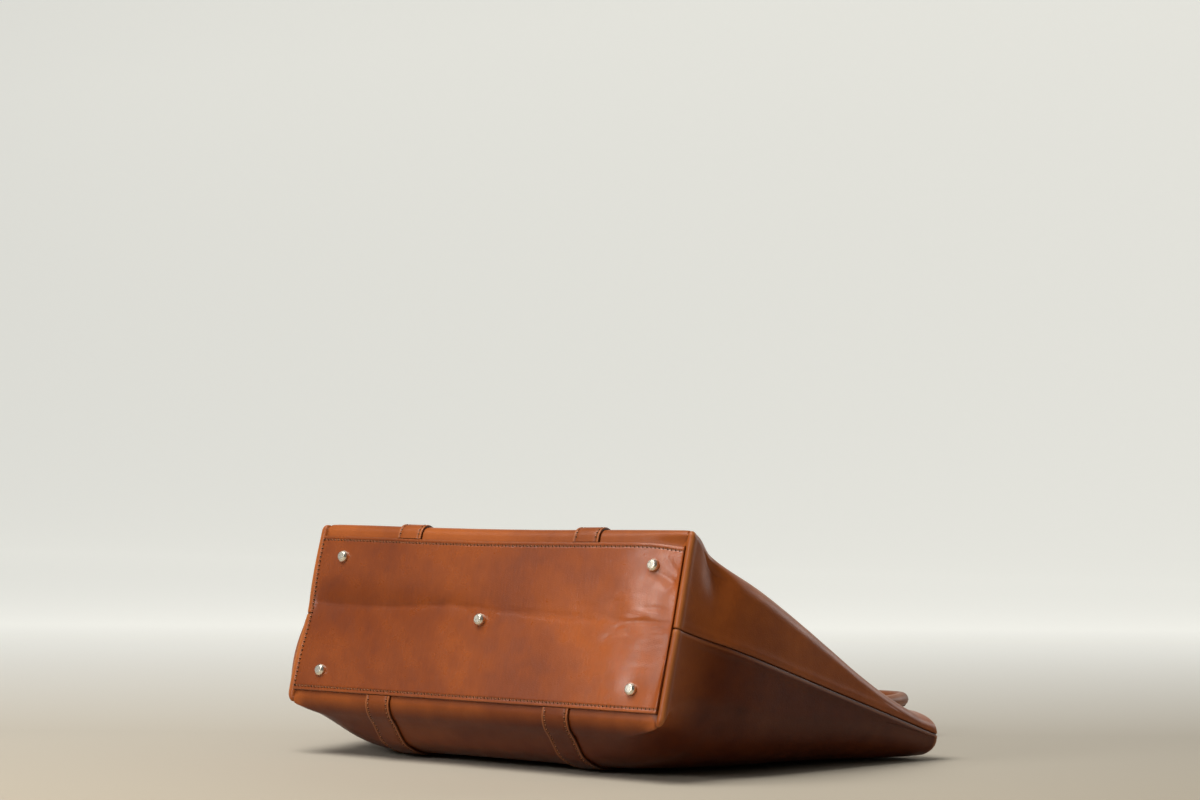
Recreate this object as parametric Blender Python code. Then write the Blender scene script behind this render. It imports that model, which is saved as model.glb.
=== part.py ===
"""Leather tote bag lying on its front face, with its base towards -Y and its mouth towards +Y.

Metres, +Z up. The origin is the middle of the bag's footprint, on the surface that it lies on.
"""
import math

import bmesh
import bpy
from mathutils import Matrix, Vector
import numpy as np

# Body, as it lies: the base leans back and both faces taper to the mouth
BASE_WIDTH = 0.379
BASE_DEPTH = 0.155
BASE_LEAN = math.radians(16.0)
BASE_LIFT = 0.0385
BODY_REACH = 0.300
MOUTH_FLARE = 0.063
MOUTH_HEIGHT = 0.036

# Leather, seams and folds. LEAST_CORNER: share of a corner that an inset leaves.
LEATHER = 0.002
GAP = 0.0003
SEAM_GAP = 0.0004
TURN_IN = 0.022
LONG_FOLD_RADIUS = 0.008
END_FOLD_RADIUS = 0.005
BASE_EDGE_MARGIN = 0.004
LEAST_CORNER = 0.25

# Straps and handles. STRAP_SQUARENESS: power of the strap's section, where 2 is round.
STRAP_WIDTH = 0.0255
STRAP_THICKNESS = 0.0020
STRAP_SPACING = 0.181
HANDLE_DROP = 0.190
HANDLE_THICKNESS = 0.012
HANDLE_FLAT_LENGTH = 0.012
HANDLE_ROLL_LENGTH = 0.030
STRAP_SQUARENESS = 6

# Feet
FOOT_DIAMETER = 0.0098
FOOT_FACE_DIAMETER = 0.0064
FOOT_HEIGHT = 0.0034
FOOT_END_MARGIN = 0.0315
FOOT_EDGE_MARGIN = 0.0295

BACK = 1
FRONT = -1
LEFT = -1
RIGHT = 1

# Sections along the body, from the base (0) to the mouth (1).
# spread: share of MOUTH_FLARE. back_height: share of the straight taper from base to mouth.
# front_lift: share of BASE_LIFT. back_corner, front_corner: share of the half height.
# lean: share of BASE_LEAN. crown: share of half BASE_DEPTH. front_reach: share of half BASE_WIDTH.
SECTION_COLUMNS = ("along", "spread", "back_height", "front_lift", "back_corner", "front_corner",
                   "lean", "crown", "front_reach")
SECTIONS = (
    (0.00, 0.00, 1.000, 1.00, 0.08, 0.09, 1.00, -0.025, 0.04),
    (0.04, 0.03, 1.030, 0.74, 0.14, 0.38, 0.98, -0.020, 0.28),
    (0.10, 0.11, 0.950, 0.28, 0.24, 0.56, 0.93, 0.000, 0.52),
    (0.18, 0.26, 0.925, 0.05, 0.30, 0.62, 0.85, 0.040, 0.54),
    (0.28, 0.38, 0.935, 0.00, 0.32, 0.60, 0.75, 0.070, 0.46),
    (0.40, 0.48, 0.925, 0.00, 0.36, 0.60, 0.62, 0.080, 0.38),
    (0.55, 0.60, 0.870, 0.00, 0.42, 0.66, 0.46, 0.070, 0.32),
    (0.70, 0.73, 0.755, 0.00, 0.55, 0.76, 0.30, 0.050, 0.26),
    (0.84, 0.85, 0.650, 0.00, 0.72, 0.84, 0.16, 0.020, 0.18),
    (0.93, 0.92, 0.700, 0.00, 0.82, 0.86, 0.07, 0.000, 0.13),
    (1.00, 0.98, 1.040, 0.00, 0.86, 0.86, 0.00, 0.000, 0.11),
)

# Hollows in the base. across, up: shares of BASE_WIDTH and BASE_DEPTH from the base's middle.
# half_width, half_height: the same shares. depth: share of BASE_DEPTH.
BASE_HOLLOW_COLUMNS = ("across", "up", "half_width", "half_height", "depth")
BASE_HOLLOWS = (
    (-0.44, 0.00, 0.30, 0.17, 0.020),
    (0.34, 0.04, 0.20, 0.20, 0.008),
)
BASE_HOLLOW_FADE = 0.10

# Dents in the gussets, and swellings where the depth is below zero. along: share of the body.
# up: share of the way from side seam to face middle. length, height: half sizes in the same shares.
# depth: share of BASE_DEPTH. None reaches the fold at the base.
DENT_COLUMNS = ("side", "hand", "along", "up", "length", "height", "depth")
DENTS = (
    (BACK, RIGHT, 0.105, 0.30, 0.045, 0.11, 0.038),
    (BACK, LEFT, 0.150, 0.28, 0.055, 0.12, 0.034),
    (BACK, LEFT, 0.035, 0.10, 0.055, 0.24, -0.044),
    (FRONT, LEFT, 0.035, 0.16, 0.055, 0.24, -0.060),
    (FRONT, LEFT, 0.420, 0.20, 0.110, 0.16, 0.020),
)
DENT_START = 0.030

# Half of the handle's loop, from a strap's end to its middle.
# out: share of HANDLE_DROP. spread: share of half STRAP_SPACING. rise: share of MOUTH_HEIGHT.
HANDLE_COLUMNS = ("out", "spread", "rise")
HANDLE_LOOPS = {
    BACK: ((0.30, 1.18, 0.78), (0.60, 1.38, 0.82), (0.87, 1.32, 0.84), (0.99, 0.76, 0.80), (1.00, 0.00, 0.78)),
    FRONT: ((0.30, 1.06, 0.00), (0.60, 1.14, 0.00), (0.84, 1.04, 0.00), (0.96, 0.62, 0.00), (0.98, 0.00, 0.00)),
}

# Turned profile of a foot, from the leather to its flat face
FOOT_COLUMNS = ("wide", "high")
FOOT_PROFILE = ((1.00, 0.00), (1.00, 0.28), (0.90, 0.62), (0.40, 1.00))

# Faces in each direction, and the angle from which an edge shades sharp
FOLD_ROWS = 3
BODY_ROWS = 19
ROW_SPREAD = 1.30
UPRIGHT_COLUMNS = 4
CORNER_COLUMNS = 5
FACE_COLUMNS = 5
STRAP_COLUMNS = 2
BASE_COLUMNS = 24
BASE_ROWS = 10
HANDLE_STATIONS = 30
CURVE_STEPS = 12
HANDLE_SIDES = 12
FOOT_SIDES = 14
SHARP_ANGLE = math.radians(35)


def named(columns, row):
    """A table row as a dictionary."""
    return dict(zip(columns, row))


def section(name, along):
    """Value of one column of SECTIONS at a place along the body, with no overshoot between rows."""
    places = np.array([row[0] for row in SECTIONS])
    values = np.array([named(SECTION_COLUMNS, row)[name] for row in SECTIONS])
    steps = np.diff(places)
    slopes = np.diff(values) / steps
    ends = np.zeros(len(values))
    ends[0] = slopes[0]
    ends[-1] = slopes[-1]
    for i in range(1, len(values) - 1):
        if slopes[i - 1] * slopes[i] > 0:
            ends[i] = 2 * slopes[i - 1] * slopes[i] / (slopes[i - 1] + slopes[i])
    i = int(np.clip(np.searchsorted(places, along, side="right") - 1, 0, len(steps) - 1))
    t = (along - places[i]) / steps[i]
    start = values[i] * (1 + 2 * t) * (1 - t) ** 2 + ends[i] * steps[i] * t * (1 - t) ** 2
    finish = values[i + 1] * t * t * (3 - 2 * t) + ends[i + 1] * steps[i] * t * t * (t - 1)
    return start + finish


def ring(side, along, inset):
    """Half ring of one panel at a place along the body, pulled in by inset within its own plane."""
    taper = (1 - along) * BASE_DEPTH / 2 + along * MOUTH_HEIGHT / 2
    lean = BASE_LEAN * section("lean", along)
    base_middle = BASE_LIFT + BASE_DEPTH / 2 * math.cos(BASE_LEAN)
    place = {
        "side": side,
        "along": along,
        "lean": lean,
        "y": (1 - along) * BASE_DEPTH / 2 * math.sin(BASE_LEAN) + along * BODY_REACH,
        "z": (1 - along) * base_middle + along * MOUTH_HEIGHT / 2,
        "crown": 0.0,
    }
    half_width = BASE_WIDTH / 2 + MOUTH_FLARE * section("spread", along)
    if side == BACK:
        half_height = taper * section("back_height", along)
        corner_high = half_height * section("back_corner", along)
        corner_wide = corner_high * (1 + along)
        place["crown"] = BASE_DEPTH / 2 * section("crown", along)
    else:
        half_height = (place["z"] - BASE_LIFT * section("front_lift", along)) / math.cos(lean)
        corner_high = half_height * section("front_corner", along)
        corner_wide = BASE_WIDTH / 2 * section("front_reach", along)
    place["full_width"] = half_width
    place["half_width"] = half_width - inset
    place["half_height"] = half_height - inset
    place["corner_high"] = max(corner_high - inset, corner_high * LEAST_CORNER)
    place["corner_wide"] = max(corner_wide - inset, corner_wide * LEAST_CORNER)
    return place


def base_hollow(across, up):
    """Depth of the base's hollows at a point measured from the base's middle."""
    depth = 0.0
    for row in BASE_HOLLOWS:
        hollow = named(BASE_HOLLOW_COLUMNS, row)
        wide = (across / BASE_WIDTH - hollow["across"]) / hollow["half_width"]
        high = (up / BASE_DEPTH - hollow["up"]) / hollow["half_height"]
        depth += hollow["depth"] * BASE_DEPTH * math.exp(-wide * wide - high * high)
    return depth


def into_bag():
    """Direction square to the base, into the bag."""
    return Vector((0, math.cos(BASE_LEAN), -math.sin(BASE_LEAN)))


def crown_at(place, across):
    """How far the face's middle stands above its corners."""
    share = min(abs(across) / place["full_width"], 1.0)
    return place["crown"] * (1 - share * share) ** 2


def ring_point(place, across, height):
    """Point of a ring from its distance across and its height above the side seam."""
    height += crown_at(place, across)
    up = Vector((0, math.sin(place["lean"]), math.cos(place["lean"])))
    point = Vector((across, place["y"], place["z"])) + up * height * place["side"]
    fade = math.exp(-((place["along"] / BASE_HOLLOW_FADE) ** 2))
    return point + into_bag() * base_hollow(across, height * place["side"]) * fade


def height_at(place, across):
    """Height of a ring's face over a distance across."""
    flat = place["half_width"] - place["corner_wide"]
    beyond = max(abs(across) - flat, 0.0) / place["corner_wide"]
    drop = 1 - math.sqrt(max(1 - beyond * beyond, 0.0))
    return place["half_height"] - place["corner_high"] * drop


def column_shares():
    """Columns of half a ring: up the gusset, round the corner, across the face to its middle."""
    shares = [("upright", k / UPRIGHT_COLUMNS) for k in range(UPRIGHT_COLUMNS)]
    shares += [("corner", k / CORNER_COLUMNS) for k in range(CORNER_COLUMNS)]
    shares += [("face", k / FACE_COLUMNS) for k in range(FACE_COLUMNS + 1)]
    return shares


def along_column(place, run, share):
    """Distance across and height of a ring at one column."""
    upright = place["half_height"] - place["corner_high"]
    if run == "upright":
        return place["half_width"], SEAM_GAP / 2 + (upright - SEAM_GAP / 2) * share
    if run == "corner":
        turn = share * math.pi / 2
        across = place["half_width"] - place["corner_wide"] * (1 - math.cos(turn))
        return across, upright + place["corner_high"] * math.sin(turn)
    return (place["half_width"] - place["corner_wide"]) * (1 - share), place["half_height"]


def profile_rows(turn_in, fold_radius):
    """Place along the body and inset of each row: turned-in edge, fold, then face to the mouth."""
    start = fold_radius / BODY_REACH
    rows = [(0.0, turn_in + (fold_radius - turn_in) * k / FOLD_ROWS) for k in range(FOLD_ROWS)]
    for k in range(FOLD_ROWS + 1):
        turn = k / FOLD_ROWS * math.pi / 2
        rows.append((start * (1 - math.cos(turn)), fold_radius * (1 - math.sin(turn))))
    for k in range(1, BODY_ROWS + 1):
        rows.append((start + (1 - start) * (k / BODY_ROWS) ** ROW_SPREAD, 0.0))
    return rows


def ease(share):
    """Smooth step from 0 to 1."""
    share = min(max(share, 0.0), 1.0)
    return share * share * (3 - 2 * share)


def grid_normals(points, outward):
    """Unit normals of a grid of points, turned to the side of outward."""
    grid = np.array(points, dtype=float)
    normals = np.cross(np.gradient(grid, axis=0), np.gradient(grid, axis=1))
    normals /= np.linalg.norm(normals, axis=2, keepdims=True)
    middle = normals[grid.shape[0] // 2, grid.shape[1] // 2]
    return normals if middle @ np.array(outward) > 0 else -normals


def dent_depth(side, hand, along, up):
    """Depth of the gusset dents at one point of a panel."""
    depth = 0.0
    for row in DENTS:
        dent = named(DENT_COLUMNS, row)
        if dent["side"] == side and dent["hand"] == hand:
            long = (along - dent["along"]) / dent["length"]
            high = (up - dent["up"]) / dent["height"]
            depth += dent["depth"] * BASE_DEPTH * math.exp(-long * long - high * high)
    return depth * ease(along / DENT_START)


def shell(name, outer, inner, material):
    """Closed wall between two grids of points with the same rows and columns."""
    rows = len(outer)
    columns = len(outer[0])
    mesh = bpy.data.meshes.new(name)
    vertices = [tuple(p) for grid in (outer, inner) for row in grid for p in row]

    def vertex(layer, i, j):
        return (layer * rows + i) * columns + j

    faces = []
    for i in range(rows - 1):
        for j in range(columns - 1):
            faces.append([vertex(0, i, j), vertex(0, i, j + 1), vertex(0, i + 1, j + 1), vertex(0, i + 1, j)])
            faces.append([vertex(1, i, j), vertex(1, i + 1, j), vertex(1, i + 1, j + 1), vertex(1, i, j + 1)])
    for i in range(rows - 1):
        for j in (0, columns - 1):
            faces.append([vertex(0, i, j), vertex(0, i + 1, j), vertex(1, i + 1, j), vertex(1, i, j)])
    for j in range(columns - 1):
        for i in (0, rows - 1):
            faces.append([vertex(0, i, j), vertex(0, i, j + 1), vertex(1, i, j + 1), vertex(1, i, j)])
    mesh.from_pydata(vertices, [], faces)
    return finish(name, mesh, material)


def finish(name, mesh, material):
    """Object with outward faces, smooth shading with sharp rims, and its own material."""
    work = bmesh.new()
    work.from_mesh(mesh)
    bmesh.ops.recalc_face_normals(work, faces=work.faces)
    work.to_mesh(mesh)
    work.free()
    mesh.shade_smooth()
    mesh.set_sharp_from_angle(angle=SHARP_ANGLE)
    mesh.materials.append(material)
    thing = bpy.data.objects.new(name, mesh)
    bpy.context.collection.objects.link(thing)
    return thing


def finish_material(name, color, roughness, metallic=0.0):
    """Principled material."""
    material = bpy.data.materials.new(name)
    material.use_nodes = True
    shader = material.node_tree.nodes["Principled BSDF"]
    shader.inputs["Base Color"].default_value = (*color, 1.0)
    shader.inputs["Roughness"].default_value = roughness
    shader.inputs["Metallic"].default_value = metallic
    return material


def panel(name, side, material):
    """Half of the bag's body: one face, half of each gusset, and the edge turned in under the base."""
    columns = [(RIGHT, *column) for column in column_shares()]
    columns += [(LEFT, *column) for column in reversed(column_shares()[:-1])]
    middle = UPRIGHT_COLUMNS + CORNER_COLUMNS + FACE_COLUMNS
    profiles = []
    for j in range(len(columns)):
        ups = min(j, len(columns) - 1 - j)
        corner = ease((ups - UPRIGHT_COLUMNS) / CORNER_COLUMNS)
        fold_radius = END_FOLD_RADIUS + (LONG_FOLD_RADIUS - END_FOLD_RADIUS) * corner
        profiles.append(profile_rows(TURN_IN, fold_radius))
    skin = []
    places = []
    for i in range(len(profiles[0])):
        line = []
        line_places = []
        for j, (hand, run, share) in enumerate(columns):
            along, inset = profiles[j][i]
            place = ring(side, along, inset)
            across, height = along_column(place, run, share)
            line.append(ring_point(place, hand * across, height))
            line_places.append(place)
        skin.append(line)
        places.append(line_places)
    normals = grid_normals(skin, (0, 0, side))
    for i in range(len(skin)):
        for j, (hand, run, share) in enumerate(columns):
            up = min(j, len(columns) - 1 - j) / middle
            depth = dent_depth(side, hand, places[i][j]["along"], up)
            skin[i][j] = skin[i][j] - Vector(normals[i][j]) * depth
    normals = grid_normals(skin, (0, 0, side))
    inner = []
    for i in range(len(skin)):
        line = []
        for j in range(len(columns)):
            normal = Vector(normals[i][j])
            if j in (0, len(columns) - 1):
                lean = places[i][j]["lean"]
                up = Vector((0, math.sin(lean), math.cos(lean)))
                normal = (normal - up * normal.dot(up)).normalized()
            line.append(skin[i][j] - normal * LEATHER)
        inner.append(line)
    return shell(name, skin, inner, material)


def base_edge_inset():
    """Distance from a long fold to the edge of the base panel."""
    return LONG_FOLD_RADIUS + BASE_EDGE_MARGIN


def base_surface(across, up):
    """Point on the base plane, measured from the middle of the base, with its hollows."""
    middle = Vector((0, BASE_DEPTH / 2 * math.sin(BASE_LEAN), BASE_LIFT + BASE_DEPTH / 2 * math.cos(BASE_LEAN)))
    upward = Vector((0, math.sin(BASE_LEAN), math.cos(BASE_LEAN)))
    point = middle + Vector((across, 0, 0)) + upward * up
    return point + into_bag() * base_hollow(across, up)


def base_panel(material):
    """Rectangle of leather laid over the panels' turned-in edges."""
    half_width = BASE_WIDTH / 2 - END_FOLD_RADIUS
    outer = []
    inner = []
    for i in range(BASE_ROWS + 1):
        outer_line = []
        inner_line = []
        for j in range(BASE_COLUMNS + 1):
            across = half_width * (2 * j / BASE_COLUMNS - 1)
            low = -BASE_DEPTH / 2 + base_edge_inset()
            high = BASE_DEPTH / 2 - base_edge_inset() + crown_at(ring(BACK, 0.0, 0.0), across)
            point = base_surface(across, low + (high - low) * i / BASE_ROWS)
            inner_line.append(point - into_bag() * GAP)
            outer_line.append(point - into_bag() * (GAP + LEATHER))
        outer.append(outer_line)
        inner.append(inner_line)
    return shell("base_panel", outer, inner, material)


def strap_rows(side, across):
    """Skin points under a strap at one distance across, from the base panel's edge to the mouth."""
    points = []
    for along, inset in profile_rows(base_edge_inset() - GAP, LONG_FOLD_RADIUS):
        place = ring(side, along, inset)
        points.append(ring_point(place, across, height_at(place, across)))
    return points


def strap_layers(side, hand):
    """Skin grid under a strap, with its normals."""
    lines = []
    for j in range(STRAP_COLUMNS + 1):
        across = hand * STRAP_SPACING / 2 + STRAP_WIDTH * (j / STRAP_COLUMNS - 0.5)
        lines.append(strap_rows(side, across))
    skin = [[line[i] for line in lines] for i in range(len(lines[0]))]
    return skin, grid_normals(skin, (0, 0, side))


def strap(name, side, hand, material):
    """Flat strap stitched on a face, from the base panel's edge to the mouth."""
    skin, normals = strap_layers(side, hand)
    inner = []
    outer = []
    for i in range(len(skin)):
        inner.append([skin[i][j] + Vector(normals[i][j]) * GAP for j in range(len(skin[i]))])
        outer.append([skin[i][j] + Vector(normals[i][j]) * (GAP + STRAP_THICKNESS) for j in range(len(skin[i]))])
    return shell(name, outer, inner, material)


def strap_end(side, hand):
    """Middle of a strap's end at the mouth, the way it runs there, and its outward normal."""
    skin, normals = strap_layers(side, hand)
    middle = STRAP_COLUMNS // 2
    normal = Vector(normals[-1][middle])
    across = Vector((1, 0, 0))
    onward = across.cross(normal)
    if onward.y < 0:
        onward = -onward
    point = skin[-1][middle] + normal * (GAP + STRAP_THICKNESS / 2) + onward * GAP
    return point, onward, normal


def curve_through(points, steps):
    """Evenly spaced points on a smooth curve through the given ones."""
    ends = [points[0] * 2 - points[1]] + points + [points[-1] * 2 - points[-2]]
    fine = []
    for i in range(1, len(ends) - 2):
        a, b, c, d = ends[i - 1], ends[i], ends[i + 1], ends[i + 2]
        for k in range(CURVE_STEPS):
            t = k / CURVE_STEPS
            fine.append(0.5 * (2 * b + (c - a) * t + (2 * a - 5 * b + 4 * c - d) * t ** 2
                               + (3 * b - a - 3 * c + d) * t ** 3))
    fine.append(points[-1])
    run = np.concatenate([[0.0], np.cumsum([(q - p).length for p, q in zip(fine, fine[1:])])])
    even = []
    for k in range(steps + 1):
        distance = run[-1] * k / steps
        i = int(np.clip(np.searchsorted(run, distance) - 1, 0, len(fine) - 2))
        even.append(fine[i].lerp(fine[i + 1], (distance - run[i]) / (run[i + 1] - run[i])))
    return even, run[-1]


def handle_path(side):
    """Middle line of a handle, from the right strap's end round to the left one's."""
    lying = HANDLE_THICKNESS / 2 - GAP - STRAP_THICKNESS
    half = []
    start, onward, _ = strap_end(side, RIGHT)
    half.append(start)
    half.append(start + onward * HANDLE_FLAT_LENGTH)
    for row in HANDLE_LOOPS[side]:
        share = named(HANDLE_COLUMNS, row)
        height = max(share["rise"] * MOUTH_HEIGHT, lying)
        spread = share["spread"] * STRAP_SPACING / 2
        half.append(Vector((spread, start.y + share["out"] * HANDLE_DROP, height)))
    other = [Vector((-p.x, p.y, p.z)) for p in reversed(half[:-1])]
    return curve_through(half + other, HANDLE_STATIONS)


def handle(name, side, material):
    """Handle that leaves two straps flat and is rolled round between them."""
    path, length = handle_path(side)
    _, _, end_normal = strap_end(side, RIGHT)
    sections = []
    for i, middle in enumerate(path):
        distance = length * min(i, HANDLE_STATIONS - i) / HANDLE_STATIONS
        roll = ease((distance - HANDLE_FLAT_LENGTH / 2) / HANDLE_ROLL_LENGTH)
        onward = (path[min(i + 1, HANDLE_STATIONS)] - path[max(i - 1, 0)]).normalized()
        if i in (0, HANDLE_STATIONS):
            onward = Vector((0, end_normal.z, -end_normal.y)) * (1 if i == 0 else -1)
            onward *= 1 if end_normal.z > 0 else -1
        wide_way = onward.cross(Vector((0, 0, 1))).normalized()
        thick_way = wide_way.cross(onward).normalized()
        half_wide = (STRAP_WIDTH + (HANDLE_THICKNESS - STRAP_WIDTH) * roll) / 2
        half_thick = (STRAP_THICKNESS + (HANDLE_THICKNESS - STRAP_THICKNESS) * roll) / 2
        middle.z = max(middle.z, half_thick - GAP - STRAP_THICKNESS)
        power = 2 / (STRAP_SQUARENESS + (2 - STRAP_SQUARENESS) * roll)
        line = []
        for k in range(HANDLE_SIDES):
            turn = 2 * math.pi * (k + 0.5) / HANDLE_SIDES
            wide = math.copysign(abs(math.cos(turn)) ** power, math.cos(turn)) * half_wide
            thick = math.copysign(abs(math.sin(turn)) ** power, math.sin(turn)) * half_thick
            line.append(middle + wide_way * wide + thick_way * thick)
        sections.append(line)
    return loft(name, sections, material)


def loft(name, sections, material):
    """Closed solid through rings with the same number of points."""
    sides = len(sections[0])
    vertices = [tuple(p) for line in sections for p in line]
    faces = [list(range(sides)), list(range(len(vertices) - sides, len(vertices)))]
    for i in range(len(sections) - 1):
        for k in range(sides):
            turn = (k + 1) % sides
            faces.append([i * sides + k, i * sides + turn, (i + 1) * sides + turn, (i + 1) * sides + k])
    mesh = bpy.data.meshes.new(name)
    mesh.from_pydata(vertices, [], faces)
    return finish(name, mesh, material)


def foot(name, across, up, material):
    """Turned metal stud seated on the base panel, with its flat face outwards."""
    rim = [(across + math.cos(a) * FOOT_DIAMETER / 2, up + math.sin(a) * FOOT_DIAMETER / 2)
           for a in (2 * math.pi * k / FOOT_SIDES for k in range(FOOT_SIDES))]
    sunk = min(base_hollow(*place) for place in rim + [(across, up)])
    flat = base_surface(across, up) - into_bag() * (base_hollow(across, up) - sunk)
    seat = flat - into_bag() * (2 * GAP + LEATHER)
    sections = []
    for row in FOOT_PROFILE:
        share = named(FOOT_COLUMNS, row)
        spare = (share["wide"] - FOOT_PROFILE[-1][0]) / (1 - FOOT_PROFILE[-1][0])
        radius = (FOOT_FACE_DIAMETER + (FOOT_DIAMETER - FOOT_FACE_DIAMETER) * spare) / 2
        line = []
        for k in range(FOOT_SIDES):
            turn = 2 * math.pi * k / FOOT_SIDES
            line.append(Vector((radius * math.cos(turn), radius * math.sin(turn), FOOT_HEIGHT * share["high"])))
        sections.append(line)
    thing = loft(name, sections, material)
    facing = (-into_bag()).to_track_quat("Z", "Y")
    thing.data.transform(Matrix.Translation(seat) @ facing.to_matrix().to_4x4())
    return thing


def build_bag():
    """Every piece of the bag, carried by one empty that stands it on the surface."""
    for old in list(bpy.data.objects):
        bpy.data.objects.remove(old)
    tan = finish_material("panel_leather", (0.42, 0.13, 0.045), 0.42)
    base_tan = finish_material("base_leather", (0.40, 0.12, 0.040), 0.40)
    strap_tan = finish_material("strap_leather", (0.36, 0.11, 0.040), 0.42)
    handle_tan = finish_material("handle_leather", (0.38, 0.12, 0.042), 0.45)
    nickel = finish_material("foot_metal", (0.78, 0.76, 0.70), 0.22, 1.0)
    things = [panel("back_panel", BACK, tan), panel("front_panel", FRONT, tan), base_panel(base_tan)]
    for side, side_name in ((FRONT, "front"), (BACK, "back")):
        for hand, hand_name in ((LEFT, "left"), (RIGHT, "right")):
            things.append(strap(f"strap_{side_name}_{hand_name}", side, hand, strap_tan))
            place = (hand * (BASE_WIDTH / 2 - FOOT_END_MARGIN), side * (BASE_DEPTH / 2 - FOOT_EDGE_MARGIN))
            things.append(foot(f"foot_{side_name}_{hand_name}", *place, nickel))
        things.append(handle(f"handle_{side_name}", side, handle_tan))
    things.append(foot("foot_centre", 0.0, 0.0, nickel))
    corners = np.array([tuple(v.co) for thing in things for v in thing.data.vertices])
    low = corners.min(axis=0)
    high = corners.max(axis=0)
    bag = bpy.data.objects.new("bag", None)
    bpy.context.collection.objects.link(bag)
    bag.location = (-(low[0] + high[0]) / 2, -(low[1] + high[1]) / 2, -low[2])
    for thing in things:
        thing.parent = bag


build_bag()
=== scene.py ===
"""Leather tote bag lying on its front face, base to the camera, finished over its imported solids."""
import math

import bpy
from mathutils import Matrix, Vector, noise
from mathutils.bvhtree import BVHTree
import numpy as np


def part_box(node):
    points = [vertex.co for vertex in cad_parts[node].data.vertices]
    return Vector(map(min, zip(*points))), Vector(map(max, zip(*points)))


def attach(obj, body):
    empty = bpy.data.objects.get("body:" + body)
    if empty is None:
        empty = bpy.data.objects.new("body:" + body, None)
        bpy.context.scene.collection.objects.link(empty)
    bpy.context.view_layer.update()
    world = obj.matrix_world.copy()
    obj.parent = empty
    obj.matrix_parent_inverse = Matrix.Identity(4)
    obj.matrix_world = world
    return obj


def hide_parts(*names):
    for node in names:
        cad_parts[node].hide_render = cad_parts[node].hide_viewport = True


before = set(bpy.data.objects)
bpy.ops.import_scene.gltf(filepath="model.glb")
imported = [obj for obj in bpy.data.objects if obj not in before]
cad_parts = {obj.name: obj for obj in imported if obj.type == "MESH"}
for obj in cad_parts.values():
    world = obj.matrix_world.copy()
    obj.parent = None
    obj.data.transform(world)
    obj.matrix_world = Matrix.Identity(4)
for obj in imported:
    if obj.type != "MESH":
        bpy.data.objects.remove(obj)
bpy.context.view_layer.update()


# Body panels. Two pieces of 2 mm cognac cow leather, one for the back and one for the front,
# wrap round to the middle of each gusset, where they meet in a turned seam. Their bottom edges
# turn in under the base panel along a boxed seam at each end, and their mouth edges are hemmed.
BACK = 1
FRONT = -1
LEFT = -1
RIGHT = 1
BAG_SHIFT = np.array([0.0, -0.24829, 0.00230])
BASE_WIDTH = 0.379
BASE_DEPTH = 0.155
BASE_LEAN = math.radians(16.0)
BASE_LIFT = 0.0385
BODY_REACH = 0.300
MOUTH_FLARE = 0.063
MOUTH_HEIGHT = 0.036
LEATHER = 0.002
GAP = 0.0003
SEAM_GAP = 0.0004
TURN_IN = 0.022
LONG_FOLD_RADIUS = 0.008
END_FOLD_RADIUS = 0.005
BASE_EDGE_INSET = LONG_FOLD_RADIUS + 0.004
LEAST_CORNER = 0.25
INTO_BAG = np.array([0.0, math.cos(BASE_LEAN), -math.sin(BASE_LEAN)])
UP_BASE = np.array([0.0, math.sin(BASE_LEAN), math.cos(BASE_LEAN)])
BASE_MIDDLE = BASE_DEPTH / 2 * UP_BASE + np.array([0.0, 0.0, BASE_LIFT])

SECTION_COLUMNS = ("along", "spread", "back_height", "front_lift", "back_corner", "front_corner",
                   "lean", "crown", "front_reach")
SECTIONS = np.array((
    (0.00, 0.00, 1.000, 1.00, 0.08, 0.09, 1.00, -0.025, 0.04),
    (0.04, 0.03, 1.030, 0.74, 0.14, 0.38, 0.98, -0.020, 0.28),
    (0.10, 0.11, 0.950, 0.28, 0.24, 0.56, 0.93, 0.000, 0.52),
    (0.18, 0.26, 0.925, 0.05, 0.30, 0.62, 0.85, 0.040, 0.54),
    (0.28, 0.38, 0.935, 0.00, 0.32, 0.60, 0.75, 0.070, 0.46),
    (0.40, 0.48, 0.925, 0.00, 0.36, 0.60, 0.62, 0.080, 0.38),
    (0.55, 0.60, 0.870, 0.00, 0.42, 0.66, 0.46, 0.070, 0.32),
    (0.70, 0.73, 0.755, 0.00, 0.55, 0.76, 0.30, 0.050, 0.26),
    (0.84, 0.85, 0.650, 0.00, 0.72, 0.84, 0.16, 0.020, 0.18),
    (0.93, 0.92, 0.700, 0.00, 0.82, 0.86, 0.07, 0.000, 0.13),
    (1.00, 0.98, 1.040, 0.00, 0.86, 0.86, 0.00, 0.000, 0.11),
))
BASE_HOLLOWS = ((-0.44, 0.00, 0.30, 0.17, 0.020), (0.34, 0.04, 0.20, 0.20, 0.008))
BASE_HOLLOW_FADE = 0.10

# Dents, and swellings below zero: side, hand, along, up, half length, half height, depth
DENTS = (
    (BACK, RIGHT, 0.105, 0.30, 0.045, 0.11, 0.038),
    (BACK, LEFT, 0.150, 0.28, 0.055, 0.12, 0.034),
    (BACK, LEFT, 0.035, 0.10, 0.055, 0.24, -0.044),
    (FRONT, LEFT, 0.035, 0.16, 0.055, 0.24, -0.060),
    (FRONT, LEFT, 0.420, 0.20, 0.110, 0.16, 0.020),
)
DENT_START = 0.030

# Runs of one half ring, with the CAD column that each starts at and spans
UPRIGHT, CORNER, FACE = 0, 1, 2
RUN_STARTS = (0, 4, 9)
RUN_SPANS = (4, 5, 5)
MIDDLE_COLUMN = 14
HEM_WIDTH = 0.028
HEM_THICKNESS = 0.0014
RIM_RADIUS = 0.0017
LIP_RADIUS = 0.0016
LIP_STANDS_PROUD = {BACK: 0.0005, FRONT: 0.0007}

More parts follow.
